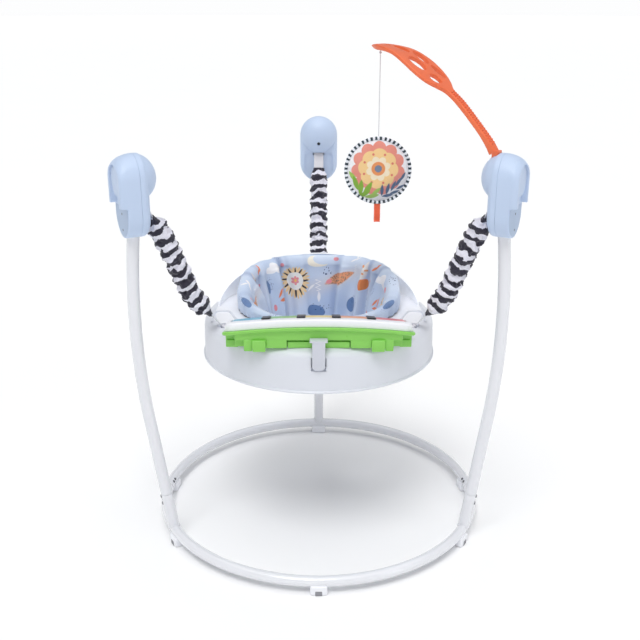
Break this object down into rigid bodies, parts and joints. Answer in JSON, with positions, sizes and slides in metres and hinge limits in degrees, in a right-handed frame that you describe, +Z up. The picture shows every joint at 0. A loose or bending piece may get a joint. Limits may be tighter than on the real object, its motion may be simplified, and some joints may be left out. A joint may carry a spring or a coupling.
{
  "type": "baby activity center",
  "caption": "Floor-standing baby jumper: ring base, bent tube towers with sprung gathered sleeves, round tray with fabric seat, toy piano and a curved toy bar with a hanging disc.",
  "frame": {"origin": "on the floor, under the middle of the whole object", "axes": "+Z up, +X to the side that carries the toy bar, -Y to the side that the seated baby faces"},
  "size_m": [0.8272, 0.8232, 1.0603],
  "materials": {
    "white_tube": "gloss white powder coat",
    "white_plastic": "satin moulded plastic",
    "light_blue_plastic": "satin moulded plastic",
    "pale_grey_plastic": "satin moulded plastic",
    "green_plastic": "glossy moulded plastic",
    "orange_plastic": "satin moulded plastic",
    "black_plastic": "satin moulded plastic",
    "steel": "zinc-plated steel",
    "white_webbing": "woven polyester webbing",
    "zebra_cloth": "gathered cloth, black and white stripes",
    "seat_cloth": "printed polyester cloth",
    "toy_cloth": "printed short-pile cloth",
    "border_cloth": "black and white woven edging",
    "ribbon_cloth": "satin ribbon",
    "string_fibre": "twisted polyester string",
    "board_green": "printed circuit board",
    "key_blue": "glossy moulded plastic",
    "key_green": "glossy moulded plastic",
    "key_yellow": "glossy moulded plastic",
    "key_orange": "glossy moulded plastic",
    "key_red": "glossy moulded plastic"
  },
  "bodies": {
    "frame": {"base_front_arc": "white_tube", "base_rear_arc": "white_tube", "foot_front": "white_plastic", "foot_rear": "white_plastic", "foot_front_left": "white_plastic", "foot_front_right": "white_plastic", "foot_back_left": "white_plastic", "foot_back_right": "white_plastic", "upright_left": "white_tube", "head_inner_shell_left": "light_blue_plastic", "head_outer_shell_left": "light_blue_plastic", "hanger_pin_left": "steel", "strap_left": "white_webbing", "spring_left": "steel", "sleeve_left": "zebra_cloth", "upright_right": "white_tube", "head_inner_shell_right": "light_blue_plastic", "head_outer_shell_right": "light_blue_plastic", "hanger_pin_right": "steel", "strap_right": "white_webbing", "spring_right": "steel", "sleeve_right": "zebra_cloth", "upright_rear": "white_tube", "head_inner_shell_rear": "light_blue_plastic", "head_outer_shell_rear": "light_blue_plastic", "hanger_pin_rear": "steel", "strap_rear": "white_webbing", "spring_rear": "steel", "sleeve_rear": "zebra_cloth"},
    "seat": {"link_left": "white_webbing", "link_pin_left": "steel", "link_right": "white_webbing", "link_pin_right": "steel", "link_rear": "white_webbing", "link_pin_rear": "steel", "tray_shell": "white_plastic", "back_shell": "white_plastic", "seat_ring": "white_plastic", "seat_fabric": "seat_cloth"},
    "station": {"station_cover": "white_plastic", "station_base": "green_plastic", "black_keys": "black_plastic", "circuit_board": "board_green", "speaker": "black_plastic", "battery_door": "green_plastic", "battery_left": "steel", "battery_right": "steel"},
    "power_switch": {"power_switch": "black_plastic"},
    "key_blue": {"key_blue": "key_blue"},
    "key_green": {"key_green": "key_green"},
    "key_yellow": {"key_yellow": "key_yellow"},
    "key_orange": {"key_orange": "key_orange"},
    "key_red": {"key_red": "key_red"},
    "latch": {"latch": "pale_grey_plastic"},
    "toy_bar": {"toy_bar": "orange_plastic"},
    "string_knot": {"string_knot": "string_fibre"},
    "toy_string": {"toy_string": "string_fibre"},
    "hanging_toy": {"toy_disc": "toy_cloth", "toy_border": "border_cloth", "ribbon_tab": "ribbon_cloth"}
  },
  "joints": [
    {"name": "seat_bounce", "type": "slide", "parent": "frame", "child": "seat", "axis": [0, 0, 1], "range_m": [-0.12, 0.04], "stiffness_N_per_m": 1300, "springref_m": 0.0158, "deforming": ["spring_left", "sleeve_left", "spring_right", "sleeve_right", "spring_rear", "sleeve_rear"]},
    {"name": "station_lift", "type": "slide", "parent": "seat", "child": "station", "axis": [0, 0, 1], "range_m": [0, 0.05], "stiffness_N_per_m": 400},
    {"name": "power_switch_slide", "type": "slide", "parent": "station", "child": "power_switch", "axis": [1, 0, 0], "range_m": [0, 0.008]},
    {"name": "key_blue_press", "type": "hinge", "parent": "station", "child": "key_blue", "pos_m": [-0.143, -0.22056, 0.5265], "axis": [1, 0, 0], "range_deg": [-3.5, 0], "stiffness_Nm_per_rad": 0.9, "springref_deg": 2.86},
    {"name": "key_green_press", "type": "hinge", "parent": "station", "child": "key_green", "pos_m": [-0.0715, -0.22056, 0.531], "axis": [1, 0, 0], "range_deg": [-3.5, 0], "stiffness_Nm_per_rad": 0.9, "springref_deg": 2.86},
    {"name": "key_yellow_press", "type": "hinge", "parent": "station", "child": "key_yellow", "pos_m": [0, -0.22056, 0.53251], "axis": [1, 0, 0], "range_deg": [-3.5, 0], "stiffness_Nm_per_rad": 0.9, "springref_deg": 2.86},
    {"name": "key_orange_press", "type": "hinge", "parent": "station", "child": "key_orange", "pos_m": [0.0715, -0.22056, 0.531], "axis": [1, 0, 0], "range_deg": [-3.5, 0], "stiffness_Nm_per_rad": 0.9, "springref_deg": 2.86},
    {"name": "key_red_press", "type": "hinge", "parent": "station", "child": "key_red", "pos_m": [0.143, -0.22056, 0.5265], "axis": [1, 0, 0], "range_deg": [-3.5, 0], "stiffness_Nm_per_rad": 0.9, "springref_deg": 2.86},
    {"name": "latch_swing", "type": "hinge", "parent": "seat", "child": "latch", "pos_m": [0, -0.27806, 0.449], "axis": [1, 0, 0], "range_deg": [0, 15], "stiffness_Nm_per_rad": 0.6, "springref_deg": -2.86},
    {"name": "toy_bar_pull", "type": "slide", "parent": "frame", "child": "toy_bar", "axis": [0, 0, 1], "range_m": [0, 0.03], "stiffness_N_per_m": 300},
    {"name": "toy_sway", "type": "hinge", "parent": "toy_bar", "child": "string_knot", "pos_m": [0.1257, -0.04326, 1.043], "axis": [1, 0, 0], "range_deg": [-25, 25]},
    {"name": "toy_swing", "type": "hinge", "parent": "string_knot", "child": "toy_string", "pos_m": [0.1257, -0.04326, 1.043], "axis": [0, 1, 0], "range_deg": [-35, 35]},
    {"name": "toy_spin", "type": "hinge", "parent": "toy_string", "child": "hanging_toy", "pos_m": [0.1257, -0.04326, 1.043], "axis": [0, 0, 1], "range_deg": [-180, 180]}
  ]
}
